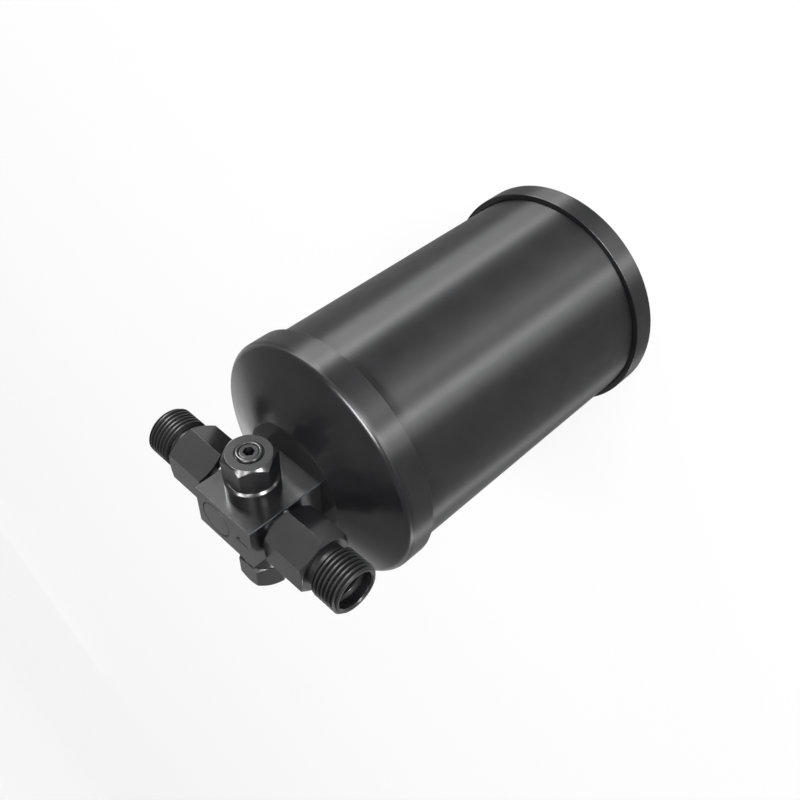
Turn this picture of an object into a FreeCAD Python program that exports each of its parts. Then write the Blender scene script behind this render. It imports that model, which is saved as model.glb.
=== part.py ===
# Receiver drier: an upright pressure vessel with a manifold block brazed to its head.
# Millimetres, +Z up along the vessel towards the block, origin at the centre of the base.
# The inlet leaves towards -X, the outlet towards +X, the relief valve towards -Y
# and the capped access port towards +Y.
import FreeCAD, Part
import math
import os

# Vessel
shellRadius = 38.1
shellWall = 2.0
shellLength = 112.0
baseRingWall = 2.05
baseRingHeight = 8.1
baseFloor = 2.2
baseRecessInset = 8.1
baseRecessDepth = 1.4
baseRecessSlope = 2.1
baseFootRound = 0.6
baseRingRound = 0.25
baseGap = 0.15
headSkirtWall = 1.85
headWall = 2.2
headOverlap = 6.6
headRimRise = 2.5
headConeRise = 8.2
headSeatRadius = 18.7
headSkirtRound = 0.25
headRimRound = 3.0
pressedBendRound = 1.0
slipFit = 0.05

# Manifold block, with the drillings that lead gas in and liquid out
blockWidth = 24.0
blockDepth = 14.86
blockHeight = 25.8
blockChamfer = 0.4
portHeight = 14.3
accessDrop = 1.0
webThickness = 1.8
webPlace = -2.7
inletDropRadius = 2.2
chamberRadius = 3.2
plugRadius = 5.8
plugThickness = 2.5
plugPlace = 3.7
plugGroove = 0.25
riserRadius = 2.3

# Inlet and outlet fittings, turned from hexagon bar
fittingShankRadius = 5.5
fittingShankLength = 3.6
fittingShankChamfer = 0.4
fittingNeckRadius = 7.2
fittingNeckLength = 1.6
fittingHexAcross = 17.0
fittingHexLength = 15.8
undercutRadius = 6.6
undercutLength = 1.8
threadRadius = 7.94
threadLength = 10.3
threadLeadChamfer = 0.9
threadStartChamfer = 0.6
pilotRadius = 6.0
pilotDepth = 3.3
pilotChamfer = 0.5
shoulderRadius = 5.5
shoulderConeDepth = 0.7
fittingBoreRadius = 4.6
fittingBoreDepth = 16.0
passageRadius = 3.2

# Face seals of everything that screws into the block
sealWire = 0.62
sealGroove = 1.35

# Relief valve
smallShankRadius = 4.5
smallShankLength = 3.6
smallPassageRadius = 1.1
reliefCollarRadius = 8.0
reliefCollarLength = 6.1
reliefCollarChamfer = 0.65
reliefNeckRadius = 7.1
reliefNeckLength = 0.3
reliefHexAcross = 14.0
reliefHexLength = 8.4
reliefRingRadius = 3.85
reliefRingRise = 0.75
reliefRingRound = 0.5
reliefBoreRadius = 2.85
reliefBoreFloor = -1.4
seatLipRadius = 1.7
seatLipRise = 0.5
seatLipFlare = 0.3
poppetClearance = 0.08
poppetLength = 5.0
poppetSkirtDepth = 0.5
poppetFlatDepth = 0.45
poppetSpigotRadius = 1.0
poppetSpigotLength = 1.6
poppetChamfer = 0.3
seatSealRadius = 2.1
seatSealThickness = 0.8
reliefSpringWire = 0.3
reliefSpringTurns = 6
retainerLength = 3.5
retainerLead = 0.2
retainerChamfer = 0.3
retainerRecess = 0.25
retainerSocketAcross = 3.0

# Access port and its cap
portCollarRadius = 7.0
portCollarLength = 3.5
portCollarChamfer = 0.5
portNeckRadius = 4.4
portNeckLength = 2.5
portStubRadius = 5.55
portStubLength = 9.5
portStubChamfer = 0.6
coreBoreRadius = 2.5
coreBoreFloor = 1.6
coreBoreCone = 0.8
coreBarrelRadius = 1.9
coreBarrelBottom = 4.2
coreThreadLength = 3.8
coreHeadTaper = 0.4
coreRecess = 0.7
corePinRadius = 0.7
corePinClearance = 0.08
corePinDiscRadius = 1.6
corePinDiscThickness = 0.8
corePinHeadRadius = 1.15
corePinHeadLength = 0.7
corePinHeadChamfer = 0.2
coreSpringPocketRadius = 1.45
coreSpringPocketDepth = 5.4
coreSpringWire = 0.16
coreSpringTurns = 5
capSkirtRadius = 6.5
capSkirtLength = 8.4
capSkirtRound = 0.3
capBoreLead = 0.4
capHexAcross = 14.0
capHexLength = 8.85
capRoofThickness = 7.65
capSealThickness = 1.5
capSealBoreRadius = 3.0

# Pick-up tube and the packed bed
tubeRadius = 3.0
tubeWall = 0.7
tubeSeatDepth = 7.0
tubeFoot = 7.5
strainerRadius = 6.5
strainerWall = 0.7
strainerHeight = 11.0
strainerRound = 0.6
strainerStandOff = 2.0
strainerSlots = 8
strainerSlotWidth = 1.6
strainerSlotHeight = 5.0
strainerSlotBottom = 2.0
bedFit = 0.3
plateThickness = 1.2
plateHoleRadius = 1.9
plateInnerCount = 6
plateInnerRing = 14.0
plateOuterCount = 12
plateOuterInset = 9.6
lowerPlateHeight = 22.0
upperPlateRim = 5.0
padThickness = 4.0
bedHeight = 55.0
tubeClearance = 0.25
bedSpringRadius = 13.0
bedSpringWire = 1.1
bedSpringTurns = 4

# Ends of the hexagon bars, end turns of the springs, and how far tools overrun
hexChamferSlope = math.tan(math.radians(30.0))
hexChamferStart = 0.985
hexCrownSlope = math.tan(math.radians(45.0))
hexCrownStart = 0.94
closedTurnRise = 1.05
overrun = 1.0
overlap = 0.5

# Radii and heights that follow from the sizes above
innerRadius = shellRadius - shellWall
baseRadius = shellRadius + baseGap + baseRingWall
baseRecessRadius = shellRadius - baseRecessInset
headRadius = shellRadius + slipFit + headSkirtWall
plateOuterRing = innerRadius - plateOuterInset
shellBottom = baseFloor
shellTop = shellBottom + shellLength
rimHeight = shellTop + headRimRise
seatHeight = rimHeight + headConeRise
blockTop = seatHeight + blockHeight
portLevel = seatHeight + portHeight
accessLevel = portLevel - accessDrop
sideFace = blockWidth / 2.0
frontFace = blockDepth / 2.0

axisUp = FreeCAD.Vector(0, 0, 1)
towardsInlet = FreeCAD.Vector(-1, 0, 0)
towardsOutlet = FreeCAD.Vector(1, 0, 0)
towardsRelief = FreeCAD.Vector(0, -1, 0)
towardsAccess = FreeCAD.Vector(0, 1, 0)

pieces = {}


# A corner of a profile is (radius, height) or (radius, height, rounding).
def profileFace(corners):
    points = [FreeCAD.Vector(corner[0], 0, corner[1]) for corner in corners]
    rounds = [corner[2] if len(corner) > 2 else 0.0 for corner in corners]
    entries = []
    exits = []
    arcs = []
    for index, point in enumerate(points):
        before = (points[index - 1] - point).normalize()
        after = (points[(index + 1) % len(points)] - point).normalize()
        rounding = rounds[index]
        if rounding <= 0:
            entries.append(point)
            exits.append(point)
            arcs.append(None)
            continue
        half = before.getAngle(after) / 2.0
        reach = rounding / math.tan(half)
        bisector = (before + after).normalize()
        centre = point + bisector * (rounding / math.sin(half))
        entries.append(point + before * reach)
        exits.append(point + after * reach)
        arcs.append(centre - bisector * rounding)
    edges = []
    for index, entry in enumerate(entries):
        if arcs[index] is not None:
            edges.append(Part.Arc(entry, arcs[index], exits[index]).toShape())
        following = entries[(index + 1) % len(entries)]
        edges.append(Part.LineSegment(exits[index], following).toShape())
    return Part.Face(Part.Wire(edges))


def turned(corners):
    return profileFace(corners).revolve(FreeCAD.Vector(0, 0, 0), axisUp, 360)


def rod(radius, bottom, top, x=0.0, y=0.0):
    return Part.makeCylinder(radius, top - bottom, FreeCAD.Vector(x, y, bottom), axisUp)


# The end of a hexagon bar is turned to a cone: where it starts, as a share of the distance
# from the middle to the flats, and its slope. The free end of a key hexagon is crowned more.
plainEnd = (hexChamferStart, hexChamferSlope)
crownedEnd = (hexCrownStart, hexCrownSlope)


# Hexagon bar between two heights, one corner on the given angle; an end of None stays square.
def hexBar(across, bottom, top, cornerAngle, bottomEnd=plainEnd, topEnd=plainEnd):
    cornerRadius = across / math.sqrt(3.0)
    corners = []
    for index in range(7):
        angle = math.radians(cornerAngle + 60.0 * index)
        x = cornerRadius * math.cos(angle)
        y = cornerRadius * math.sin(angle)
        corners.append(FreeCAD.Vector(x, y, bottom))
    prism = Part.Face(Part.makePolygon(corners)).extrude(FreeCAD.Vector(0, 0, top - bottom))
    guardRadius = cornerRadius + overrun
    guard = [(0, bottom), (guardRadius, bottom), (guardRadius, top), (0, top)]
    if topEnd:
        flatRadius = across / 2.0 * topEnd[0]
        drop = (guardRadius - flatRadius) * topEnd[1]
        guard[2:3] = [(guardRadius, top - drop), (flatRadius, top)]
    if bottomEnd:
        flatRadius = across / 2.0 * bottomEnd[0]
        rise = (guardRadius - flatRadius) * bottomEnd[1]
        guard[1:2] = [(flatRadius, bottom), (guardRadius, bottom + rise)]
    return prism.common(turned(guard))


# Wire spring between two flat seats, with a closed turn at each end. Every half turn
# is a tilted half ring, and neighbours share their tangent.
def spring(meanRadius, wireRadius, turns, bottom, top):
    closedRise = closedTurnRise * wireRadius
    openRise = (top - bottom - 2.0 * wireRadius - 4.0 * closedRise) / (2.0 * turns)
    rises = [closedRise] * 2 + [openRise] * (2 * turns) + [closedRise] * 2
    halves = []
    side = 1.0
    start = FreeCAD.Vector(meanRadius, 0, bottom + wireRadius)
    for rise in rises:
        chord = FreeCAD.Vector(-2.0 * side * meanRadius, 0, rise)
        tangent = FreeCAD.Vector(0, side, 0)
        section = Part.Face(Part.Wire(Part.makeCircle(wireRadius, start, tangent)))
        halves.append(section.revolve(start + chord / 2.0, tangent.cross(chord), 180))
        start = start + chord
        side = -side
    return halves[0].multiFuse(halves[1:])


# Moves a piece built along +Z, with its seat at height 0, onto a face of the block.
def seated(shape, direction, face, level):
    point = direction * face + FreeCAD.Vector(0, 0, level)
    placed = shape.copy()
    placement = FreeCAD.Placement(point, FreeCAD.Rotation(axisUp, direction))
    placed.Placement = placement.multiply(shape.Placement)
    return placed


def onSide(shape, direction):
    return seated(shape, direction, sideFace, portLevel)


def onFront(shape):
    return seated(shape, towardsRelief, frontFace, portLevel)


# The access port lies a little lower than the other three.
def onBack(shape):
    return seated(shape, towardsAccess, frontFace, accessLevel)


def makeShell():
    return turned([
        (innerRadius, shellBottom), (shellRadius, shellBottom),
        (shellRadius, shellTop), (innerRadius, shellTop)])


# Pressed cup: the ring stands around the shell and the middle of the floor is raised.
def makeBaseCap():
    cupRadius = shellRadius + baseGap
    bend = pressedBendRound
    recessInner = baseRecessRadius - baseRecessSlope
    return turned([
        (0, baseRecessDepth), (recessInner, baseRecessDepth, bend), (baseRecessRadius, 0, bend),
        (baseRadius, 0, baseFootRound), (baseRadius, baseRingHeight, baseRingRound),
        (cupRadius, baseRingHeight), (cupRadius, baseFloor), (baseRecessRadius, baseFloor, bend),
        (recessInner, baseFloor + baseRecessDepth, bend), (0, baseFloor + baseRecessDepth)])


# Underside of the cone, one wall thickness below the outside.
def coneUnderside(radius):
    slope = headConeRise / (headRadius - headSeatRadius)
    drop = headWall * math.sqrt(1.0 + slope * slope)
    return rimHeight + (headRadius - radius) * slope - drop


def makeHeadCap():
    skirtBottom = shellTop - headOverlap
    cupRadius = shellRadius + slipFit
    seatInner = headSeatRadius - headWall / 2.0
    cap = turned([
        (cupRadius, skirtBottom), (headRadius, skirtBottom, headSkirtRound),
        (headRadius, rimHeight, headRimRound), (headSeatRadius, seatHeight), (0, seatHeight),
        (0, seatHeight - headWall), (seatInner, seatHeight - headWall, pressedBendRound),
        (innerRadius, coneUnderside(innerRadius)), (innerRadius, shellTop), (cupRadius, shellTop)])
    holeBottom = seatHeight - headWall - overrun
    cap = cap.cut(rod(inletDropRadius, holeBottom, seatHeight + overrun, inletDropPlace()))
    return cap.cut(rod(tubeRadius, holeBottom, seatHeight + overrun, plugPlace))


# The inlet drop lies halfway between the end of the fitting's shank and the web.
def inletDropPlace():
    shankEnd = -(sideFace - fittingShankLength)
    webFace = webPlace - webThickness / 2.0
    return (shankEnd + webFace) / 2.0


def boxEdges(shape, bottom):
    return [edge for edge in shape.Edges if edge.BoundBox.ZMax > bottom + blockChamfer]


def makeBlock():
    corner = FreeCAD.Vector(-sideFace, -frontFace, seatHeight)
    block = Part.makeBox(blockWidth, blockDepth, blockHeight, corner)
    block = block.makeChamfer(blockChamfer, boxEdges(block, seatHeight))
    sideRecess = rod(fittingShankRadius, -fittingShankLength, overrun)
    sideRecess = sideRecess.fuse(rod(fittingShankRadius + sealGroove, -sealGroove, overrun))
    frontRecess = rod(smallShankRadius, -smallShankLength, overrun)
    frontRecess = frontRecess.fuse(rod(smallShankRadius + sealGroove, -sealGroove, overrun))
    cuts = []
    for direction in (towardsInlet, towardsOutlet):
        cuts.append(onSide(sideRecess, direction))
    branch = rod(smallPassageRadius, -(frontFace - chamberRadius / 2.0), -smallShankLength + overlap)
    for seat in (onFront, onBack):
        cuts.append(seat(frontRecess))
        cuts.append(seat(branch))
    chamberTop = -fittingShankLength + overlap
    inletChamberLength = sideFace + webPlace - webThickness / 2.0
    outletChamberLength = sideFace - webPlace - webThickness / 2.0
    cuts.append(onSide(rod(chamberRadius, -inletChamberLength, chamberTop), towardsInlet))
    cuts.append(onSide(rod(chamberRadius, -outletChamberLength, chamberTop), towardsOutlet))
    cuts.append(rod(inletDropRadius, seatHeight - overrun, portLevel, inletDropPlace()))
    cuts.append(rod(tubeRadius, seatHeight - overrun, seatHeight + tubeSeatDepth, plugPlace))
    cuts.append(rod(riserRadius, seatHeight, blockTop - plugThickness + overlap, plugPlace))
    cuts.append(rod(plugRadius, blockTop - plugThickness, blockTop + overrun, plugPlace))
    for cut in cuts:
        block = block.cut(cut)
    return block


# Disc pressed flush into the top of the block, with a fine bevel that leaves a ring line.
def makePassagePlug():
    plug = turned([
        (0, 0), (plugRadius, 0), (plugRadius, plugThickness - plugGroove),
        (plugRadius - plugGroove, plugThickness), (0, plugThickness)])
    plug.translate(FreeCAD.Vector(plugPlace, 0, blockTop - plugThickness))
    return plug


def makeFitting():
    hexBottom = fittingNeckLength
    hexTop = hexBottom + fittingHexLength
    threadBottom = hexTop + undercutLength
    threadTop = threadBottom + threadLength
    outside = turned([
        (0, -fittingShankLength), (fittingShankRadius - fittingShankChamfer, -fittingShankLength),
        (fittingShankRadius, -fittingShankLength + fittingShankChamfer), (fittingShankRadius, 0),
        (fittingNeckRadius, 0), (fittingNeckRadius, hexBottom + overlap),
        (undercutRadius, hexBottom + overlap), (undercutRadius, threadBottom),
        (threadRadius - threadStartChamfer, threadBottom),
        (threadRadius, threadBottom + threadStartChamfer), (threadRadius, threadTop - threadLeadChamfer),
        (threadRadius - threadLeadChamfer, threadTop), (0, threadTop)])
    body = outside.fuse(hexBar(fittingHexAcross, hexBottom, hexTop, 90.0))
    pilotFloor = threadTop - pilotDepth
    boreFloor = pilotFloor - fittingBoreDepth
    inside = turned([
        (0, -fittingShankLength - overrun), (passageRadius, -fittingShankLength - overrun),
        (passageRadius, boreFloor - (fittingBoreRadius - passageRadius)), (fittingBoreRadius, boreFloor),
        (fittingBoreRadius, pilotFloor - shoulderConeDepth), (shoulderRadius, pilotFloor),
        (pilotRadius, pilotFloor), (pilotRadius, threadTop - pilotChamfer),
        (pilotRadius + pilotChamfer, threadTop), (pilotRadius + pilotChamfer, threadTop + overrun),
        (0, threadTop + overrun)])
    return body.cut(inside).removeSplitter()


# Sealing ring in the recess around a shank, just clear of the walls.
def makeSealRing(shankRadius):
    ringRadius = shankRadius + sealGroove / 2.0
    return Part.makeTorus(ringRadius, sealWire, FreeCAD.Vector(0, 0, -sealGroove / 2.0), axisUp)


def reliefTop():
    return reliefCollarLength + reliefNeckLength + reliefHexLength


def makeReliefBody():
    hexBottom = reliefCollarLength + reliefNeckLength
    hexTop = reliefTop()
    lipTop = reliefBoreFloor + seatLipRise
    outside = turned([
        (0, -smallShankLength), (smallShankRadius, -smallShankLength), (smallShankRadius, 0),
        (reliefCollarRadius, 0), (reliefCollarRadius, reliefCollarLength - reliefCollarChamfer),
        (reliefCollarRadius - reliefCollarChamfer, reliefCollarLength),
        (reliefNeckRadius, reliefCollarLength), (reliefNeckRadius, hexBottom),
        (reliefRingRadius, hexBottom), (reliefRingRadius, hexTop + reliefRingRise, reliefRingRound),
        (0, hexTop + reliefRingRise)])
    body = outside.fuse(hexBar(reliefHexAcross, hexBottom, hexTop, 0.0, topEnd=crownedEnd))
    inside = turned([
        (0, -smallShankLength - overrun), (smallPassageRadius, -smallShankLength - overrun),
        (smallPassageRadius, lipTop), (seatLipRadius, lipTop),
        (seatLipRadius + seatLipFlare, reliefBoreFloor), (reliefBoreRadius, reliefBoreFloor),
        (reliefBoreRadius, hexTop + reliefRingRise + overrun),
        (0, hexTop + reliefRingRise + overrun)])
    return body.cut(inside).removeSplitter()


# Guide with three flats that let gas past, a recess for its seal and a spigot for the spring.
def makePoppet():
    sealBottom = reliefBoreFloor + seatLipRise
    bottom = sealBottom + seatSealThickness - poppetSkirtDepth
    top = bottom + poppetLength
    guideRadius = reliefBoreRadius - poppetClearance
    spigotTop = top + poppetSpigotLength
    poppet = turned([
        (0, bottom), (guideRadius, bottom),
        (guideRadius, top - poppetChamfer), (guideRadius - poppetChamfer, top),
        (poppetSpigotRadius, top), (poppetSpigotRadius, spigotTop - poppetChamfer),
        (poppetSpigotRadius - poppetChamfer, spigotTop), (0, spigotTop)])
    poppet = poppet.cut(rod(seatSealRadius, bottom - overrun, bottom + poppetSkirtDepth))
    flatWidth = 2.0 * reliefBoreRadius
    for index in range(3):
        corner = FreeCAD.Vector(guideRadius - poppetFlatDepth, -flatWidth / 2.0, bottom - overlap)
        slab = Part.makeBox(flatWidth, flatWidth, poppetLength + 2.0 * overlap, corner)
        slab.rotate(FreeCAD.Vector(0, 0, 0), axisUp, 120.0 * index)
        poppet = poppet.cut(slab)
    return poppet


def poppetTop():
    return reliefBoreFloor + seatLipRise + seatSealThickness - poppetSkirtDepth + poppetLength


def makeSeatSeal():
    sealBottom = reliefBoreFloor + seatLipRise
    return rod(seatSealRadius, sealBottom, sealBottom + seatSealThickness)


def retainerBottom():
    return reliefTop() + reliefRingRise - retainerRecess - retainerLength


def makeReliefSpring():
    meanRadius = (poppetSpigotRadius + reliefBoreRadius) / 2.0
    return spring(meanRadius, reliefSpringWire, reliefSpringTurns, poppetTop(), retainerBottom())


def makeRetainer():
    radius = reliefBoreRadius - slipFit
    bottom = retainerBottom()
    top = bottom + retainerLength
    retainer = turned([
        (0, bottom), (radius - retainerLead, bottom), (radius, bottom + retainerLead),
        (radius, top - retainerChamfer), (radius - retainerChamfer, top), (0, top)])
    return retainer.cut(hexBar(retainerSocketAcross, bottom - overrun, top + overrun, 0.0, None, None))


def portTop():
    return portCollarLength + portNeckLength + portStubLength


def makePortBody():
    neckTop = portCollarLength + portNeckLength
    top = portTop()
    outside = turned([
        (0, -smallShankLength), (smallShankRadius, -smallShankLength), (smallShankRadius, 0),
        (portCollarRadius, 0), (portCollarRadius, portCollarLength - portCollarChamfer),
        (portCollarRadius - portCollarChamfer, portCollarLength), (portNeckRadius, portCollarLength),
        (portNeckRadius, neckTop), (portStubRadius - portStubChamfer, neckTop),
        (portStubRadius, neckTop + portStubChamfer), (portStubRadius, top - portStubChamfer),
        (portStubRadius - portStubChamfer, top), (0, top)])
    inside = turned([
        (0, -smallShankLength - overrun), (smallPassageRadius, -smallShankLength - overrun),
        (smallPassageRadius, coreBoreFloor - coreBoreCone), (coreBoreRadius, coreBoreFloor),
        (coreBoreRadius, top + overrun), (0, top + overrun)])
    return outside.cut(inside)


# Valve core: a threaded head on a slimmer barrel, with a spring pocket around the pin.
def makePortCore():
    top = portTop() - coreRecess
    headBottom = top - coreThreadLength
    headRadius = coreBoreRadius - slipFit
    pinBore = corePinRadius + corePinClearance
    return turned([
        (pinBore, coreBarrelBottom), (coreBarrelRadius, coreBarrelBottom),
        (coreBarrelRadius, headBottom - coreHeadTaper),
        (headRadius, headBottom), (headRadius, top), (coreSpringPocketRadius, top),
        (coreSpringPocketRadius, top - coreSpringPocketDepth), (pinBore, top - coreSpringPocketDepth)])


def makeCorePin():
    headTop = portTop() - coreRecess + corePinHeadLength / 2.0
    headBottom = headTop - corePinHeadLength
    discBottom = coreBarrelBottom - corePinDiscThickness
    return turned([
        (0, discBottom), (corePinDiscRadius, discBottom),
        (corePinDiscRadius, coreBarrelBottom), (corePinRadius, coreBarrelBottom),
        (corePinRadius, headBottom), (corePinHeadRadius, headBottom),
        (corePinHeadRadius, headTop - corePinHeadChamfer),
        (corePinHeadRadius - corePinHeadChamfer, headTop), (0, headTop)])


def makeCoreSpring():
    top = portTop() - coreRecess
    headBottom = top - corePinHeadLength / 2.0
    meanRadius = (corePinRadius + coreSpringPocketRadius) / 2.0
    return spring(meanRadius, coreSpringWire, coreSpringTurns, top - coreSpringPocketDepth, headBottom)


# Hexagon cap screwed over the stub; its skirt reaches back over the stub's thread.
def makePortCap():
    ceiling = portTop() + capSealThickness
    hexTop = ceiling + capRoofThickness
    hexBottom = hexTop - capHexLength
    skirtBottom = hexBottom - capSkirtLength
    bore = portStubRadius + slipFit
    skirt = turned([
        (0, skirtBottom), (capSkirtRadius, skirtBottom, capSkirtRound),
        (capSkirtRadius, hexBottom + overlap), (0, hexBottom + overlap)])
    skirtEnd = (capSkirtRadius / (capHexAcross / 2.0), hexChamferSlope)
    body = skirt.fuse(hexBar(capHexAcross, hexBottom, hexTop, 0.0, skirtEnd, crownedEnd))
    inside = turned([
        (0, skirtBottom - overrun), (bore + capBoreLead, skirtBottom - overrun),
        (bore + capBoreLead, skirtBottom), (bore, skirtBottom + capBoreLead),
        (bore, ceiling), (0, ceiling)])
    return body.cut(inside).removeSplitter()


def makeCapSeal():
    bottom = portTop()
    top = bottom + capSealThickness
    seal = rod(portStubRadius - slipFit, bottom, top)
    return seal.cut(rod(capSealBoreRadius, bottom - overrun, top + overrun))


def makePickupTube():
    top = seatHeight + tubeSeatDepth
    tube = rod(tubeRadius, tubeFoot, top, plugPlace)
    return tube.cut(rod(tubeRadius - tubeWall, tubeFoot - overrun, top + overrun, plugPlace))


# Slotted cup pushed over the foot of the tube.
def makeStrainer():
    bottom = tubeFoot - strainerStandOff
    top = bottom + strainerHeight
    cup = turned([
        (0, bottom), (strainerRadius, bottom, strainerRound),
        (strainerRadius, top, strainerRound), (tubeRadius, top),
        (tubeRadius, top - strainerWall), (strainerRadius - strainerWall, top - strainerWall),
        (strainerRadius - strainerWall, bottom + strainerWall), (0, bottom + strainerWall)])
    slotBase = bottom + strainerSlotBottom
    for index in range(strainerSlots):
        corner = FreeCAD.Vector(strainerRadius / 2.0, -strainerSlotWidth / 2.0, slotBase)
        slot = Part.makeBox(strainerRadius, strainerSlotWidth, strainerSlotHeight, corner)
        slot.rotate(FreeCAD.Vector(0, 0, 0), axisUp, 360.0 / strainerSlots * index)
        cup = cup.cut(slot)
    cup.translate(FreeCAD.Vector(plugPlace, 0, 0))
    return cup


def perforated(plate, bottom, top):
    for count, ring in ((plateInnerCount, plateInnerRing), (plateOuterCount, plateOuterRing)):
        for index in range(count):
            angle = 2.0 * math.pi * (index + 0.5) / count
            x = ring * math.cos(angle)
            y = ring * math.sin(angle)
            plate = plate.cut(rod(plateHoleRadius, bottom, top, x, y))
    return plate


def tubeHole(bottom, top):
    return rod(tubeRadius + tubeClearance, bottom, top, plugPlace)


# Drawn cup, open downwards, that stands on the floor of the base.
def makeLowerPlate():
    radius = innerRadius - bedFit
    top = baseFloor + lowerPlateHeight
    under = top - plateThickness
    plate = turned([
        (0, under), (radius - plateThickness, under), (radius - plateThickness, baseFloor),
        (radius, baseFloor), (radius, top, plateThickness), (0, top)])
    plate = perforated(plate, under - overrun, top + overrun)
    return plate.cut(tubeHole(under - overrun, top + overrun))


def padDisc(bottom, height):
    pad = rod(innerRadius - bedFit, bottom, bottom + height)
    return pad.cut(tubeHole(bottom - overrun, bottom + height + overrun))


def makeUpperPlate(bottom):
    radius = innerRadius - bedFit
    top = bottom + plateThickness
    plate = turned([
        (0, bottom), (radius, bottom, plateThickness), (radius, bottom + upperPlateRim),
        (radius - plateThickness, bottom + upperPlateRim), (radius - plateThickness, top), (0, top)])
    plate = perforated(plate, bottom - overrun, top + overrun)
    return plate.cut(tubeHole(bottom - overrun, top + overrun))


lowerPadBottom = baseFloor + lowerPlateHeight
bedBottom = lowerPadBottom + padThickness
upperPadBottom = bedBottom + bedHeight
upperPlateBottom = upperPadBottom + padThickness
bedSpringBottom = upperPlateBottom + plateThickness

pieces["body_shell"] = makeShell()
pieces["base_cap"] = makeBaseCap()
pieces["head_cap"] = makeHeadCap()
pieces["manifold_block"] = makeBlock()
pieces["passage_plug"] = makePassagePlug()

fitting = makeFitting()
fittingSeal = makeSealRing(fittingShankRadius)
pieces["inlet_fitting"] = onSide(fitting, towardsInlet)
pieces["inlet_o_ring"] = onSide(fittingSeal, towardsInlet)
pieces["outlet_fitting"] = onSide(fitting, towardsOutlet)
pieces["outlet_o_ring"] = onSide(fittingSeal, towardsOutlet)

smallSeal = makeSealRing(smallShankRadius)
pieces["relief_body"] = onFront(makeReliefBody())
pieces["relief_o_ring"] = onFront(smallSeal)
pieces["relief_poppet"] = onFront(makePoppet())
pieces["relief_seat_seal"] = onFront(makeSeatSeal())
pieces["relief_spring"] = onFront(makeReliefSpring())
pieces["relief_retainer"] = onFront(makeRetainer())

pieces["access_port_body"] = onBack(makePortBody())
pieces["access_port_o_ring"] = onBack(smallSeal)
pieces["access_core"] = onBack(makePortCore())
pieces["access_core_pin"] = onBack(makeCorePin())
pieces["access_core_spring"] = onBack(makeCoreSpring())
pieces["access_port_cap"] = onBack(makePortCap())
pieces["access_cap_seal"] = onBack(makeCapSeal())

pieces["pickup_tube"] = makePickupTube()
pieces["tube_strainer"] = makeStrainer()
pieces["lower_plate"] = makeLowerPlate()
pieces["lower_filter_pad"] = padDisc(lowerPadBottom, padThickness)
pieces["desiccant_bed"] = padDisc(bedBottom, bedHeight)
pieces["upper_filter_pad"] = padDisc(upperPadBottom, padThickness)
pieces["upper_plate"] = makeUpperPlate(upperPlateBottom)
pieces["bed_spring"] = spring(
    bedSpringRadius, bedSpringWire, bedSpringTurns, bedSpringBottom, seatHeight - headWall)

os.makedirs("parts", exist_ok=True)
for name, shape in pieces.items():
    print(name, len(shape.Solids), shape.isValid(), round(shape.Volume, 1))
    shape.Solids[0].exportStep("parts/" + name + ".step")
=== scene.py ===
# Receiver drier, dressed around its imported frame.
# Objects are in metres in the frame's axes; every size in a dictionary is in millimetres.
import math

import bpy
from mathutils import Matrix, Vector


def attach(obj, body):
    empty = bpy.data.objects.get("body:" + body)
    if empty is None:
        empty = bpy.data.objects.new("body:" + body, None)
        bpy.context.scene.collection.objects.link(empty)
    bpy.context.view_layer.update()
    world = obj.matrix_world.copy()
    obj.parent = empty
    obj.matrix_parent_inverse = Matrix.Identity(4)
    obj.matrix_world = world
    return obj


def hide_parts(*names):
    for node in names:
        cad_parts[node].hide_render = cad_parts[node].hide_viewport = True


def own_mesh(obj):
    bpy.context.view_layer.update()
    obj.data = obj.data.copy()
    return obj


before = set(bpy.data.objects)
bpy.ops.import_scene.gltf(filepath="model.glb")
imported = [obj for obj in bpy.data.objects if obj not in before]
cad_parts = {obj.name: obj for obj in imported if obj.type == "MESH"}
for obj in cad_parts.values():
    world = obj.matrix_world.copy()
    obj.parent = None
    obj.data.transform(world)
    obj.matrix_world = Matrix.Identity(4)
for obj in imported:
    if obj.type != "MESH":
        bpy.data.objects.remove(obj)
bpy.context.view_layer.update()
mm = 0.001
print("frame loaded:", len(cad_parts), "nodes")

# Levels that several pieces share
levels = {
    "shellBottom": 2.2,
    "shellTop": 114.2,
    "rim": 116.7,
    "seat": 124.9,       # flat top of the head, under the block
    "port": 139.2,       # axis of the fittings and of the relief valve
    "access": 138.2,     # axis of the access port
    "blockTop": 150.7,
    "blockSide": 12.0,   # from the vessel's axis to the faces that carry the fittings
    "blockFront": 7.43,  # from the vessel's axis to the faces that carry the two valves
}
# How far a cutting tool reaches past a face, and how deep two forms overlap before they join
allowance = {"overrun": 1.0, "overlap": 0.5}
overrun, overlap = allowance["overrun"], allowance["overlap"]


# Modelling helpers

def selectOnly(piece):
    bpy.ops.object.select_all(action="DESELECT")
    piece.select_set(True)
    bpy.context.view_layer.objects.active = piece


def applyPlace(piece):
    selectOnly(piece)
    bpy.ops.object.transform_apply(location=True, rotation=True, scale=True)


def applyModifier(piece, kind, **settings):
    selectOnly(piece)
    modifier = piece.modifiers.new(kind.lower(), kind)
    for key, value in settings.items():
        setattr(modifier, key, value)
    bpy.ops.object.modifier_apply(modifier=modifier.name)


# Joins or cuts piece with tool, and deletes the tool.
def combine(piece, tool, operation):
    applyModifier(piece, "BOOLEAN", object=tool, operation=operation, solver="EXACT")
    bpy.data.objects.remove(tool, do_unlink=True)
    return piece


# Makes one point of points that lie on each other; works in edit mode.
def weldPoints():
    bpy.ops.mesh.select_all(action="SELECT")
    bpy.ops.mesh.remove_doubles(threshold=0.002 * mm)


# Smooth shading that keeps the flat faces flat beside their rounded edges.
def smooth(piece, angle=32):
    selectOnly(piece)
    bpy.ops.object.shade_smooth_by_angle(angle=math.radians(angle))
    applyModifier(piece, "WEIGHTED_NORMAL", mode="FACE_AREA", weight=100, keep_sharp=True)
    return piece


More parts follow.
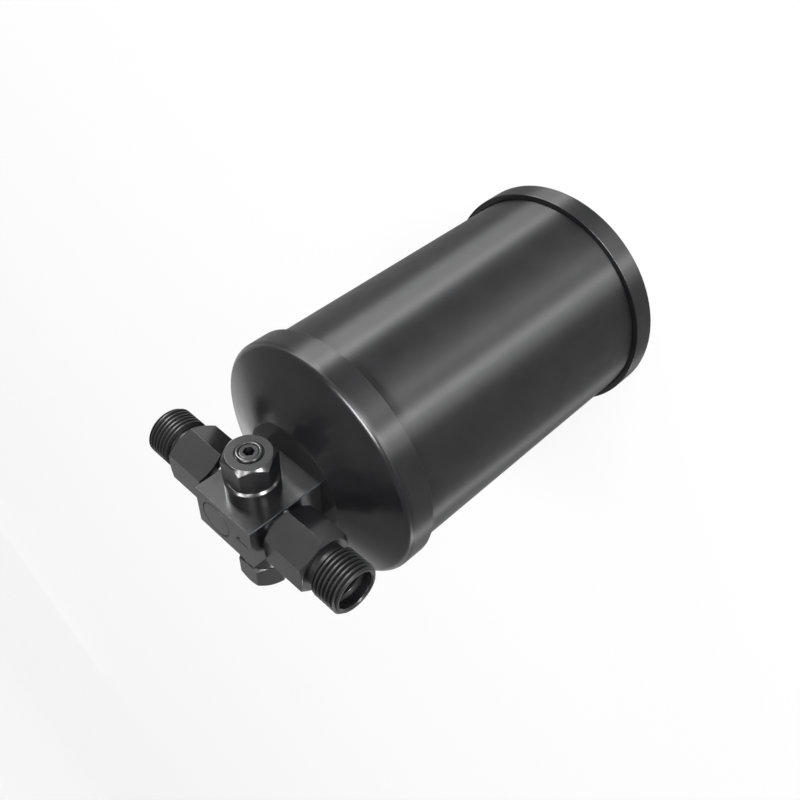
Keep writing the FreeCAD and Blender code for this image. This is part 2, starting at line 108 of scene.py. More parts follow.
# A corner is (radius, height) or (radius, height, rounding); a rounding becomes an arc of rings.
def roundedRings(corners, steps=6):
    rings = []
    for index, corner in enumerate(corners):
        here = Vector(corner[:2])
        if len(corner) < 3:
            rings.append(tuple(here))
            continue
        rounding = corner[2]
        before = (Vector(corners[index - 1][:2]) - here).normalized()
        after = (Vector(corners[(index + 1) % len(corners)][:2]) - here).normalized()
        half = before.angle(after) / 2
        centre = here + (before + after).normalized() * rounding / math.sin(half)
        start = here + before * rounding / math.tan(half) - centre
        end = here + after * rounding / math.tan(half) - centre
        first = math.atan2(start.y, start.x)
        turn = (math.atan2(end.y, end.x) - first + math.pi) % (2 * math.pi) - math.pi
        for step in range(steps + 1):
            angle = first + turn * step / steps
            rings.append((
                centre.x + rounding * math.cos(angle), centre.y + rounding * math.sin(angle)))
    return rings


# Turns a profile as a lathe would: a circle is extruded and resized from ring to ring.
# A profile that starts and ends on the axis is filled there, any other is a closed loop.
def turnPiece(name, corners, sides=96, place=(0, 0)):
    rings = roundedRings(corners)
    solid = rings[0][0] < 1e-6
    rings = rings[1:-1] if solid else rings + rings[:1]
    bpy.ops.object.select_all(action="DESELECT")
    bpy.ops.mesh.primitive_circle_add(
        vertices=sides, radius=rings[0][0] * mm, location=(0, 0, rings[0][1] * mm))
    piece = bpy.context.object
    piece.name = name
    piece.data.name = name
    applyPlace(piece)
    bpy.ops.object.mode_set(mode="EDIT")
    bpy.ops.mesh.select_all(action="SELECT")
    if solid:
        bpy.ops.mesh.edge_face_add()
    for (radius, height), (nextRadius, nextHeight) in zip(rings, rings[1:]):
        rise = {"value": (0, 0, (nextHeight - height) * mm)}
        ratio = nextRadius / radius
        if solid:
            bpy.ops.mesh.extrude_region_move(TRANSFORM_OT_translate=rise)
        else:
            bpy.ops.mesh.extrude_edges_move(TRANSFORM_OT_translate=rise)
        bpy.ops.transform.resize(value=(ratio, ratio, 1), center_override=(0, 0, nextHeight * mm))
    weldPoints()
    bpy.ops.mesh.normals_make_consistent(inside=False)
    bpy.ops.object.mode_set(mode="OBJECT")
    piece.location = (place[0] * mm, place[1] * mm, 0)
    applyPlace(piece)
    return piece


# Drill for a stepped hole: a step is its radius and the height it starts from.
def stepDrill(steps, top, sides, place=(0, 0)):
    profile = [(0, steps[0][1]), steps[0]]
    for (radius, _), (nextRadius, height) in zip(steps, steps[1:]):
        profile += [(radius, height), (nextRadius, height)]
    return turnPiece("drill", profile + [(steps[-1][0], top), (0, top)], sides, place)


# Rounds the edges that run from the height lowEnd to the height highEnd.
def roundEdges(piece, lowEnd, highEnd, rounding):
    bpy.ops.object.mode_set(mode="EDIT")
    bpy.ops.mesh.select_mode(type="EDGE")
    bpy.ops.mesh.select_all(action="DESELECT")
    bpy.ops.object.mode_set(mode="OBJECT")
    for edge in piece.data.edges:
        low, high = sorted(piece.data.vertices[index].co.z / mm for index in edge.vertices)
        edge.select = abs(low - lowEnd) < 0.5 and abs(high - highEnd) < 0.5
    bpy.ops.object.mode_set(mode="EDIT")
    bpy.ops.mesh.bevel(offset=rounding * mm, segments=3, affect="EDGES")
    bpy.ops.mesh.select_mode(type="VERT")
    bpy.ops.object.mode_set(mode="OBJECT")


def hexagonPrism(name, across, bottom, top, turn):
    bpy.ops.object.select_all(action="DESELECT")
    bpy.ops.mesh.primitive_cylinder_add(
        vertices=6, radius=across / math.sqrt(3) * mm, depth=(top - bottom) * mm,
        location=(0, 0, (top + bottom) / 2 * mm), rotation=(0, 0, math.radians(turn)))
    piece = bpy.context.object
    piece.name = name
    piece.data.name = name
    applyPlace(piece)
    return piece


# Turned ends of a hexagon bar: where the cone starts, as a share of the way to the flats,
# and its slope in degrees
hexagonCones = {"plain": (0.985, 30), "crowned": (0.94, 45), "skirted": (0.985, 37)}
hexagonRound = {"end": 0.12, "corner": 0.02}


# Profile of a hexagon bar between its two cones, with a bore if inner is not 0.
def hexagonEnds(across, bottom, top, inner, bottomCone="plain", topCone="plain"):
    guard = across / math.sqrt(3) + 1
    bottomShare, bottomSlope = hexagonCones[bottomCone]
    topShare, topSlope = hexagonCones[topCone]
    bottomFlat, topFlat = across / 2 * bottomShare, across / 2 * topShare
    rise = (guard - bottomFlat) * math.tan(math.radians(bottomSlope))
    drop = (guard - topFlat) * math.tan(math.radians(topSlope))
    endRound = hexagonRound["end"]
    return [
        (inner, bottom), (bottomFlat, bottom, endRound), (guard, bottom + rise),
        (guard, top - drop), (topFlat, top, endRound), (inner, top)]


# Hexagon bar with its corners rounded a little; endProfile is what the lathe leaves of it.
def hexagonBar(name, across, bottom, top, turn, endProfile):
    bottom, top = bottom - overrun, top + overrun
    piece = hexagonPrism(name, across, bottom, top, turn)
    roundEdges(piece, bottom, top, hexagonRound["corner"])
    return combine(piece, turnPiece("lathe", endProfile, sides=144), "INTERSECT")


# Stands a piece that was made along +Z on a face of the block.
def seatOn(piece, side):
    turns = {
        "inlet": ((0, -90, 0), (-levels["blockSide"], 0, levels["port"])),
        "outlet": ((0, 90, 0), (levels["blockSide"], 0, levels["port"])),
        "relief": ((90, 0, 0), (0, -levels["blockFront"], levels["port"])),
        "access": ((-90, 0, 0), (0, levels["blockFront"], levels["access"])),
    }
    angles, spot = turns[side]
    piece.rotation_euler = [math.radians(angle) for angle in angles]
    piece.location = Vector(spot) * mm
    applyPlace(piece)
    return piece


# New object with a mesh of its own, copied from another.
def copyMesh(source, name):
    double = bpy.data.objects.new(name, source.data.copy())
    double.data.name = name
    bpy.context.collection.objects.link(double)
    return double


def finishPiece(piece, material, slot, *nodes):
    if not piece.data.materials:
        piece.data.materials.append(material)
    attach(piece, "vessel")
    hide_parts(*nodes)


# Materials

def colour(code):
    channels = [int(code[index:index + 2], 16) / 255 for index in (0, 2, 4)]
    linear = [c / 12.92 if c <= 0.04045 else ((c + 0.055) / 1.055) ** 2.4 for c in channels]
    return (*linear, 1)


def addNode(tree, kind, sockets=None, links=None, **settings):
    node = tree.nodes.new("ShaderNode" + kind)
    for key, value in settings.items():
        setattr(node, key, value)
    for key, value in (sockets or {}).items():
        node.inputs[key].default_value = value
    for key, source in (links or {}).items():
        tree.links.new(source, node.inputs[key])
    return node


def newMaterial(name):
    material = bpy.data.materials.new(name)
    material.use_nodes = True
    tree = material.node_tree
    for node in list(tree.nodes):
        if node.type != "OUTPUT_MATERIAL":
            tree.nodes.remove(node)
    return material, tree


def closeMaterial(tree, shader):
    output = next(node for node in tree.nodes if node.type == "OUTPUT_MATERIAL")
    tree.links.new(shader.outputs[0], output.inputs["Surface"])


# Noise with a grain of so many millimetres, spread between two values.
def noiseBetween(tree, grain, low, high, detail=2.0, stretch=(1, 1, 1)):
    place = addNode(tree, "TexCoord").outputs["Object"]
    place = addNode(tree, "Mapping", {"Scale": stretch}, {"Vector": place}).outputs[0]
    noise = addNode(
        tree, "TexNoise", {"Scale": 1 / (grain * mm), "Detail": detail}, {"Vector": place})
    spread = addNode(
        tree, "MapRange", {"From Min": 0.3, "From Max": 0.7, "To Min": low, "To Max": high},
        {"Value": noise.outputs["Fac"]})
    return spread.outputs[0]


# Colour that drifts between two tints with a noise.
def tintBetween(tree, noise, low, high):
    ramp = addNode(tree, "ValToRGB", links={"Fac": noise})
    ramp.color_ramp.elements[0].color = colour(low)
    ramp.color_ramp.elements[1].color = colour(high)
    return ramp.outputs["Color"]


blackCoat = {
    "base": "080809",
    "thin": "0d0d0e",
    "index": 1.5,
    "mottle": 9.0,            # slow change of the film's thickness
    "patch": 5.4,             # patches of slightly different gloss
    "mottleDepth": 0.02,
    "peel": 0.9,              # orange peel of the dried film
    "peelHeight": 0.0012,
    "wallTilt": (0.4, 0.65),  # rise of the normal at which a wall ends and a level face starts
    "drawn": {"flat": 0.25, "wall": 0.45, "lines": 0.98, "specular": 0.36},
    "turned": {"flat": 0.24, "specular": 0.5},
    "threaded": {"flat": 0.45, "specular": 0.28},
}


# Black electro-coat: an even, semi-gloss film that softens every edge.
# Drawn walls have the lines of the die under it, which stretch each lamp into a band along the
# vessel: lines is how strongly they do, wall and flat are the roughness of upright and level faces.
def coatedSteel(name, values, metal):
    material, tree = newMaterial(name)
    tint = tintBetween(
        tree, noiseBetween(tree, values["mottle"], 0, 1), values["base"], values["thin"])
    peel = noiseBetween(tree, values["peel"], 0, 1, detail=1.0)
    bump = addNode(
        tree, "Bump", {"Strength": 1.0, "Distance": values["peelHeight"] * mm}, {"Height": peel})
    flat, depth = metal["flat"], values["mottleDepth"]
    gloss = noiseBetween(tree, values["patch"], flat - depth, flat + depth)
    sockets = {"IOR": values["index"], "Specular IOR Level": metal["specular"]}
    links = {"Base Color": tint, "Roughness": gloss, "Normal": bump.outputs[0]}
    if "lines" in metal:
        normal = addNode(tree, "NewGeometry").outputs["Normal"]
        rise = {"Value": addNode(tree, "SeparateXYZ", links={0: normal}).outputs[2]}
        wallEnd, levelStart = values["wallTilt"]
        upright = {"From Min": wallEnd, "From Max": levelStart, "To Max": 0.0}
        extra = addNode(tree, "MapRange", {**upright, "To Min": metal["wall"] - flat}, rise)
        lines = addNode(tree, "MapRange", {**upright, "To Min": metal["lines"]}, rise)
        rough = addNode(tree, "Math", links={0: extra.outputs[0], 1: gloss}, operation="ADD")
        links["Roughness"] = rough.outputs[0]
        links["Anisotropic"] = lines.outputs[0]
        around = addNode(tree, "Tangent", direction_type="RADIAL", axis="Z")
        links["Tangent"] = around.outputs[0]
        sockets["Anisotropic Rotation"] = 0.25  # a quarter turn lays the lines along the vessel
    closeMaterial(tree, addNode(tree, "BsdfPrincipled", sockets, links))
    return material


# Bare metals and soft materials: two tints, a grain and a roughness.
# stretch draws the grain out into the marks of a tool, and height is the depth of the relief.
def plainFinish(name, low, high, grain, rough, metallic=0.0, height=0.002, stretch=(1, 1, 1)):
    material, tree = newMaterial(name)
    drift = noiseBetween(tree, grain, 0, 1, stretch=stretch)
    tint = tintBetween(tree, drift, low, high)
    spread = noiseBetween(
        tree, grain * 0.7, rough * 0.85, min(1, rough * 1.15), stretch=stretch)
    bump = addNode(tree, "Bump", {"Strength": 1.0, "Distance": height * mm}, {"Height": drift})
    links = {"Base Color": tint, "Roughness": spread, "Normal": bump.outputs[0]}
    closeMaterial(tree, addNode(tree, "BsdfPrincipled", {"Metallic": metallic}, links))
    return material


drawnCoat = coatedSteel("black_coat_on_drawn_steel", blackCoat, blackCoat["drawn"])
# Turned and milled steel has no lines under the film, so its flats mirror the room softly.
turnedCoat = coatedSteel("black_coat_on_turned_steel", blackCoat, blackCoat["turned"])
# The film is thin and dusty on a cut thread, so that its ridges show no hard glints.
threadedCoat = coatedSteel("black_coat_on_cut_thread", blackCoat, blackCoat["threaded"])
# The block's upright corners take a lighter grey metal: a painted highlight, a thin light line
# along the edge.
paintedEdgeHighlight = plainFinish("painted_edge_highlight", "323335", "3c3d3f", 1.5, 0.45, metallic=1.0)
print("paints mixed")


# Vessel

shell = {"radius": 38.1, "wall": 2.0}
inner = shell["radius"] - shell["wall"]
shellTube = turnPiece("shellTube", [
    (inner, levels["shellBottom"]), (shell["radius"], levels["shellBottom"]),
    (shell["radius"], levels["shellTop"]), (inner, levels["shellTop"])], sides=256)
smooth(shellTube)
finishPiece(shellTube, drawnCoat, "black_painted_steel", "body_shell")

baseCup = {
    "radius": 40.3,
    "cup": 38.25,         # inside of the cup around the shell
    "height": 8.1,
    "floor": 2.2,
    "recess": 30.0,       # foot of the raised floor
    "recessInner": 27.9,  # top of its slope
    "depth": 1.4,
}
raised = baseCup["floor"] + baseCup["depth"]
basePressing = turnPiece("basePressing", [
    (0, baseCup["depth"]), (baseCup["recessInner"], baseCup["depth"], 1.0),
    (baseCup["recess"], 0, 1.0), (baseCup["radius"], 0, 0.6),
    (baseCup["radius"], baseCup["height"], 0.35), (baseCup["cup"], baseCup["height"], 0.3),
    (baseCup["cup"], baseCup["floor"]), (baseCup["recess"], baseCup["floor"], 1.0),
    (baseCup["recessInner"], raised, 1.0), (0, raised)], sides=256)
smooth(basePressing)
finishPiece(basePressing, drawnCoat, "black_painted_steel", "base_cap")

headDish = {
    "radius": 40.0,
    "cup": 38.15,         # inside of the skirt around the shell
    "wall": 2.2,
    "skirt": 107.6,       # lower end of the skirt
    "skirtRound": 0.25,
    "rimRound": 3.0,
    "seatRadius": 18.7,
    "seatInset": 1.1,     # how much smaller the seat is on its underside
    "crease": 0.22,       # half the width of the fine crease around the seat
    "creaseDepth": 0.15,
    "underside": 115.87,
}
coneSlope = (levels["seat"] - levels["rim"]) / (headDish["radius"] - headDish["seatRadius"])
seatRadius, crease = headDish["seatRadius"], headDish["crease"]
ceiling = levels["seat"] - headDish["wall"]
headPressing = turnPiece("headPressing", [
    (0, ceiling), (seatRadius - headDish["seatInset"], ceiling, 1.0),
    (inner, headDish["underside"]), (inner, levels["shellTop"]),
    (headDish["cup"], levels["shellTop"]), (headDish["cup"], headDish["skirt"]),
    (headDish["radius"], headDish["skirt"], headDish["skirtRound"]),
    (headDish["radius"], levels["rim"], headDish["rimRound"]),
    (seatRadius + crease, levels["seat"] - crease * coneSlope),
    (seatRadius, levels["seat"] - headDish["creaseDepth"]),
    (seatRadius - crease, levels["seat"]), (0, levels["seat"])], sides=256)
smooth(headPressing)
finishPiece(headPressing, drawnCoat, "black_painted_steel", "head_cap")
print("vessel done")


# Block

block = {
    "width": 24.0,
    "depth": 14.86,
    "cornerRound": 0.35,  # rounding of the upright corners
    "edgeRound": 0.05,    # rounding around the top face
    "plugPlace": 3.7,
    "plugRadius": 5.8,
    "plugDepth": 2.5,
    "plugGap": 0.12,      # fine gap around the plug
    "plugBevel": 0.25,
    "tube": 3.0,          # socket of the pickup tube
    "tubeDepth": 7.0,
    "riser": 2.3,
    "drop": 2.2,
    "dropPlace": -6.0,
}
# Stepped holes in the sides, from the passage out to the groove of the seal: radius and depth
sideHoles = {
    "inlet": [(3.2, 8.4), (5.5, 3.6), (6.85, 1.35)],
    "outlet": [(3.2, 13.8), (5.5, 3.6), (6.85, 1.35)],
    "relief": [(1.1, 5.8), (4.5, 3.6), (5.85, 1.35)],
    "access": [(1.1, 5.8), (4.5, 3.6), (5.85, 1.35)],
}
blockBottom, blockTop = levels["seat"], levels["blockTop"]
bpy.ops.object.select_all(action="DESELECT")
bpy.ops.mesh.primitive_cube_add(
    size=1, location=(0, 0, (blockBottom + blockTop) / 2 * mm),
    scale=(block["width"] * mm, block["depth"] * mm, (blockTop - blockBottom) * mm))
manifold = bpy.context.object
manifold.name = "manifoldBlock"
manifold.data.name = "manifoldBlock"
applyPlace(manifold)
roundEdges(manifold, blockBottom, blockTop, block["cornerRound"])
roundEdges(manifold, blockTop, blockTop, block["edgeRound"])

for side, steps in sideHoles.items():
    drill = stepDrill([(radius, -depth) for radius, depth in steps], overrun, sides=48)
    combine(manifold, seatOn(drill, side), "DIFFERENCE")
riserSteps = [
    (block["tube"], blockBottom - overrun),
    (block["riser"], blockBottom + block["tubeDepth"]),
    (block["plugRadius"], blockTop - block["plugDepth"]),
]
drill = stepDrill(riserSteps, blockTop + overrun, sides=96, place=(block["plugPlace"], 0))
combine(manifold, drill, "DIFFERENCE")
dropSteps = [(block["drop"], blockBottom - overrun)]
drill = stepDrill(dropSteps, levels["port"], sides=32, place=(block["dropPlace"], 0))
combine(manifold, drill, "DIFFERENCE")

# Stamped arrow that shows the way of the flow: three round-nosed strokes in one punch
arrow = {
    "tail": -10.4,
    "tip": -5.4,
    "barb": 1.7,
    "stroke": 0.38,      # radius of the punch's nose
    "sink": 0.34,
    "overrun": 0.07,     # the barbs cross a little past the tip, as struck ones do
    "skew": (-0.03, 0.04),
    "lift": 0.01,        # each stroke is a little shallower than the one before
    "dullMargin": 0.5,   # faces this near the arrow and below the top have the dusty film
}
barbX, tipX = arrow["tip"] - arrow["barb"], arrow["tip"] + arrow["overrun"]
strokes = [
    ((arrow["tail"], 0), (arrow["tip"], 0)),
    ((barbX, arrow["barb"]), (tipX, arrow["skew"][0])),
    ((barbX, -arrow["barb"]), (tipX, arrow["skew"][1])),
]
noseHeight = blockTop + arrow["stroke"] - arrow["sink"]
punch = None
for index, (start, end) in enumerate(strokes):
    along = Vector(end) - Vector(start)
    middle = [(a + b) / 2 * mm for a, b in zip(start, end)]
    bpy.ops.object.select_all(action="DESELECT")
    bpy.ops.mesh.primitive_cylinder_add(
        vertices=16, radius=arrow["stroke"] * mm, depth=along.length * mm,
        location=(*middle, (noseHeight + index * arrow["lift"]) * mm),
        rotation=(0, math.radians(90), math.atan2(along.y, along.x)))
    stroke = bpy.context.object
    applyPlace(stroke)
    punch = combine(punch, stroke, "UNION") if punch else stroke
combine(manifold, punch, "DIFFERENCE")

for coat in (turnedCoat, threadedCoat, paintedEdgeHighlight):
    manifold.data.materials.append(coat)
margin = arrow["dullMargin"]
cornerX = block["width"] / 2 - block["cornerRound"]
cornerY = block["depth"] / 2 - block["cornerRound"]
for part in manifold.data.polygons:
    x, y, z = part.center / mm
    inArrow = (
        blockTop - margin < z < blockTop - 0.02 and abs(y) < arrow["barb"] + margin
        and arrow["tail"] - margin < x < arrow["tip"] + margin)
    # Faces of the upright corners carry the painted edge highlight.
    paintedHighlightFace = abs(x) > cornerX and abs(y) > cornerY and abs(part.normal.z) < 0.1
    part.material_index = 1 if inArrow else 2 if paintedHighlightFace else 0
smooth(manifold)
finishPiece(manifold, turnedCoat, "black_painted_steel", "manifold_block")

plugEdge = block["plugRadius"] - block["plugGap"]
plugBottom, plugBevel = blockTop - block["plugDepth"], block["plugBevel"]
plugDisc = turnPiece("plugDisc", [
    (0, plugBottom), (plugEdge, plugBottom), (plugEdge, blockTop - plugBevel),
    (plugEdge - plugBevel, blockTop), (0, blockTop)], place=(block["plugPlace"], 0))
smooth(plugDisc)
finishPiece(plugDisc, turnedCoat, "black_painted_steel", "passage_plug")
print("block done")


# Inlet and outlet fittings

fitting = {
    "across": 17.0, "hexBottom": 1.6, "hexTop": 17.4, "threadBottom": 19.8, "top": 29.5,
    "crest": 7.94, "root": 7.05, "pitch": 1.411, "lead": 0.9, "startChamfer": 0.6,
    "neck": 7.2, "undercut": 6.6, "shank": 5.5, "shankLength": 3.6,
    "pilot": 6.0, "mouth": 0.5, "pilotDepth": 3.3, "stepWidth": 0.5, "stepDrop": 0.7,
    "stepRound": 0.25, "bore": 4.6, "boreFloor": 10.2, "boreCone": 1.4, "passage": 3.2,
    "hexInner": 5.6,      # the hexagon is a ring around the turned body until the two are joined
}
thread = {
    "halfWidths": (0.47, 0.44, 0.13),  # of a tooth's foot, root and crest, as shares of the pitch
    "foot": 0.2,          # how deep a tooth starts under the root
    "rootOver": 0.02,
    "crestOver": 0.1,     # the lathe trims the crest to size
    "trimRadius": 6.7,
    "endGap": 0.1,        # the thread ends this far below the end face
}


# A ridge of thread: one tooth section is extruded point by point and screwed up the axis.
def threadRidge(name, values, bottom, top, steps=72):
    pitch = values["pitch"]
    radii = (
        values["root"] - thread["foot"], values["root"] + thread["rootOver"],
        values["crest"] + thread["crestOver"])
    flank = list(zip(radii, thread["halfWidths"]))
    tooth = [(radius, -share * pitch) for radius, share in flank]
    tooth += [(radius, share * pitch) for radius, share in reversed(flank)]
    bpy.ops.object.select_all(action="DESELECT")
    bpy.ops.mesh.primitive_plane_add(
        size=mm, location=(tooth[0][0] * mm, 0, (bottom + tooth[0][1]) * mm))
    ridge = bpy.context.object
    ridge.name = name
    applyPlace(ridge)
    bpy.ops.object.mode_set(mode="EDIT")
    bpy.ops.mesh.select_all(action="SELECT")
    bpy.ops.mesh.merge(type="CENTER")
    for (radius, height), (nextRadius, nextHeight) in zip(tooth, tooth[1:]):
        step = ((nextRadius - radius) * mm, 0, (nextHeight - height) * mm)
        bpy.ops.mesh.extrude_vertices_move(TRANSFORM_OT_translate={"value": step})
    bpy.ops.mesh.select_all(action="DESELECT")
    bpy.ops.object.mode_set(mode="OBJECT")
    for index, vertex in enumerate(ridge.data.vertices):
        vertex.select = index in (0, len(tooth) - 1)
    bpy.ops.object.mode_set(mode="EDIT")
    bpy.ops.mesh.edge_face_add()
    bpy.ops.object.mode_set(mode="OBJECT")
    applyModifier(
        ridge, "SCREW", axis="Z", angle=2 * math.pi, screw_offset=pitch * mm, steps=steps,
        render_steps=steps, iterations=math.ceil((top - bottom) / pitch), use_smooth_shade=False)
    bpy.ops.object.mode_set(mode="EDIT")
    weldPoints()
    bpy.ops.mesh.fill_holes(sides=0)
    bpy.ops.mesh.select_all(action="SELECT")
    bpy.ops.mesh.normals_make_consistent(inside=False)
    bpy.ops.object.mode_set(mode="OBJECT")
    return ridge


def makeFitting(name, values):
    top, bottom, hexBottom = values["top"], values["threadBottom"], values["hexBottom"]
    pilotFloor = top - values["pilotDepth"]
    pilot, mouth, bore = values["pilot"], values["mouth"], values["bore"]
    body = turnPiece(name, [
        (values["passage"], -values["shankLength"]),
        (values["shank"], -values["shankLength"], 0.4), (values["shank"], 0),
        (values["neck"], 0, 0.15), (values["neck"], hexBottom + overlap),
        (values["undercut"], hexBottom + overlap), (values["undercut"], bottom, 0.2),
        (values["root"], bottom + 0.3), (values["root"], top),
        (pilot + mouth, top, 0.12), (pilot, top - mouth, 0.12), (pilot, pilotFloor),
        (pilot - values["stepWidth"], pilotFloor, values["stepRound"]),
        (bore, pilotFloor - values["stepDrop"], values["stepRound"]), (bore, values["boreFloor"]),
        (values["passage"], values["boreFloor"] - values["boreCone"])], sides=144)
    ends = hexagonEnds(values["across"], hexBottom, values["hexTop"], values["hexInner"])
    bar = hexagonBar("fittingHexagon", values["across"], hexBottom, values["hexTop"], 0, ends)
    combine(body, bar, "UNION")
    # The ridge starts a pitch early and runs past the end, and the lathe trims it to its length.
    ridge = threadRidge("fittingThread", values, bottom - values["pitch"], top + overrun)
    start, lead, crest = values["startChamfer"], values["lead"], values["crest"]
    trimRadius, endGap = thread["trimRadius"], thread["endGap"]
    trim = turnPiece("lathe", [
        (trimRadius, bottom), (crest - start, bottom), (crest, bottom + start, 0.05),
        (crest, top - lead, 0.05), (crest - lead + endGap, top - endGap),
        (trimRadius, top - endGap)], sides=144)
    combine(ridge, trim, "INTERSECT")
    combine(body, ridge, "UNION")
    body.data.materials.append(turnedCoat)
    body.data.materials.append(threadedCoat)
    # The dusty film lies on the thread, deep in the bore and on the two faces of its step,
    # so that only the rounded edges of the step catch a thin bright ring.
    coneRise = math.cos(math.atan2(values["stepDrop"], pilot - values["stepWidth"] - bore))
    for part in body.data.polygons:
        height, radius = part.center.z / mm, part.center.xy.length / mm
        onThread = height > values["hexTop"] and radius > pilot + mouth + 0.05
        onStep = abs(height - pilotFloor) < 0.8 and radius < pilot - 0.02 and (
            part.normal.z > 0.995 or abs(part.normal.z - coneRise) < 0.01)
        part.material_index = int(onThread or onStep or radius < bore + 0.02)
    return smooth(body, 30)


inletFitting = makeFitting("inletFitting", fitting)
outletFitting = copyMesh(inletFitting, "outletFitting")
for piece, side in ((inletFitting, "inlet"), (outletFitting, "outlet")):
    seatOn(piece, side)
    finishPiece(piece, turnedCoat, "black_painted_steel", side + "_fitting")
print("fittings done")


# Relief valve

relief = {
    "shank": 4.5, "shankLength": 3.6, "passage": 1.1,
    "collar": 8.0, "collarLength": 6.1, "collarChamfer": 0.65,
    "neck": 7.1, "across": 14.0, "hexBottom": 6.4, "hexTop": 14.8, "hexInner": 3.3,
    "ring": 3.85, "ringTop": 15.55, "grooveWidth": 0.4, "grooveInner": 0.15, "grooveDepth": 0.25,
    "bore": 2.85, "boreFloor": -1.4, "lip": 1.7, "lipFoot": 0.3, "lipTop": -0.9,
    "retainerTop": 15.3, "retainerLength": 3.5, "retainerGap": 0.05, "socket": 3.0,
}
collar, chamfer, length = relief["collar"], relief["collarChamfer"], relief["collarLength"]
ring, hexTop = relief["ring"], relief["hexTop"]
reliefValve = turnPiece("reliefValve", [
    (relief["passage"], -relief["shankLength"]), (relief["shank"], -relief["shankLength"]),
    (relief["shank"], 0), (collar, 0, 0.05), (collar, length - chamfer, 0.15),
    (collar - chamfer, length, 0.1), (relief["neck"], length),
    (relief["neck"], relief["hexBottom"] + overlap), (ring, relief["hexBottom"] + overlap),
    (ring, relief["ringTop"], 0.5), (relief["bore"], relief["ringTop"], 0.3),
    (relief["bore"], relief["boreFloor"]),
    (relief["lip"] + relief["lipFoot"], relief["boreFloor"]),
    (relief["lip"], relief["lipTop"]), (relief["passage"], relief["lipTop"])])
ends = hexagonEnds(
    relief["across"], relief["hexBottom"], hexTop, relief["hexInner"], topCone="crowned")
grooveFloor = hexTop - relief["grooveDepth"]  # a fine groove around the raised ring
ends[-1:] = [
    (ring + relief["grooveWidth"], hexTop), (ring + relief["grooveInner"], grooveFloor),
    (relief["hexInner"], grooveFloor)]
bar = hexagonBar(
    "reliefHexagon", relief["across"], relief["hexBottom"], hexTop, -90, ends)
combine(reliefValve, bar, "UNION")
smooth(reliefValve, 30)
seatOn(reliefValve, "relief")
finishPiece(reliefValve, turnedCoat, "black_painted_steel", "relief_body")

top, radius = relief["retainerTop"], relief["bore"] - relief["retainerGap"]
bottom = top - relief["retainerLength"]
retainer = turnPiece("reliefRetainer", [
    (0, bottom), (radius, bottom, 0.2), (radius, top, 0.3), (0, top)], sides=72)
key = hexagonPrism("key", relief["socket"], bottom - overrun, top + overrun, -90)
combine(retainer, key, "DIFFERENCE")
smooth(retainer, 30)
seatOn(retainer, "relief")
finishPiece(retainer, turnedCoat, "black_painted_steel", "relief_retainer")
print("relief valve done")


# Access port

port = {
    "shank": 4.5, "shankLength": 3.6, "passage": 1.1, "collar": 7.0, "collarLength": 3.5,
    "neck": 4.4, "neckTop": 6.0, "stub": 5.55, "stubTop": 15.5,
    "bore": 2.5, "boreFloor": 1.6, "boreCone": 0.8,
    "skirt": 6.9, "skirtBottom": 7.4, "across": 14.0, "hexBottom": 15.8, "hexTop": 24.65,
    "capBore": 5.6, "capChamfer": 0.4, "ceiling": 17.0,
}
portBody = turnPiece("accessPort", [
    (port["passage"], -port["shankLength"]), (port["shank"], -port["shankLength"]),
    (port["shank"], 0), (port["collar"], 0, 0.2), (port["collar"], port["collarLength"], 0.5),
    (port["neck"], port["collarLength"], 0.3), (port["neck"], port["neckTop"]),
    (port["stub"], port["neckTop"], 0.5), (port["stub"], port["stubTop"], 0.5),
    (port["bore"], port["stubTop"]), (port["bore"], port["boreFloor"]),
    (port["passage"], port["boreFloor"] - port["boreCone"])])
smooth(portBody)
seatOn(portBody, "access")
finishPiece(portBody, turnedCoat, "black_painted_steel", "access_port_body")

skirtBottom, skirtTop = port["skirtBottom"], port["hexBottom"] + overlap
portCap = turnPiece("accessCap", [
    (0, skirtBottom), (port["skirt"], skirtBottom, 0.3), (port["skirt"], skirtTop), (0, skirtTop)])
ends = hexagonEnds(
    port["across"], port["hexBottom"], port["hexTop"], 0, "skirted", "crowned")
bar = hexagonBar("capHexagon", port["across"], port["hexBottom"], port["hexTop"], -90, ends)
combine(portCap, bar, "UNION")
capBore, capMouth = port["capBore"], port["capBore"] + port["capChamfer"]
drill = turnPiece("drill", [
    (0, skirtBottom - overrun), (capMouth, skirtBottom - overrun), (capMouth, skirtBottom),
    (capBore, skirtBottom + port["capChamfer"]), (capBore, port["ceiling"]),
    (0, port["ceiling"])], sides=72)
combine(portCap, drill, "DIFFERENCE")
smooth(portCap, 30)
seatOn(portCap, "access")
finishPiece(portCap, turnedCoat, "black_painted_steel", "access_port_cap")
print("access port done")


# Finishes of the pieces that keep their frame mesh

# Hard-drawn wire: fine lines of the die along it, with a cold grey glint
springSteel = plainFinish(
    "drawn_spring_steel", "6f7176", "8b8d92", 0.6, 0.32, metallic=1.0, stretch=(1, 1, 0.2))
# Oiled sheet as it leaves the press: bright and even, slightly cloudy
plainSteel = plainFinish("pressed_mild_steel", "8a8c8f", "a3a5a8", 1.5, 0.38, metallic=1.0)
# Fine rings of the lathe tool, in warm yellow
turnedBrass = plainFinish(
    "turned_brass", "b08d4c", "c9a661", 0.25, 0.3, metallic=1.0, stretch=(0.2, 1, 1))
# Matt and near black, with the faint grain of the mould
sealRubber = plainFinish("moulded_nitrile_rubber", "151515", "1f1f20", 0.5, 0.6, height=0.004)
# Off-white fibres, with a soft nap and no gloss at all
filterFelt = plainFinish("needled_polyester_felt", "c9c4b4", "ebe7da", 0.35, 0.95, height=0.15)
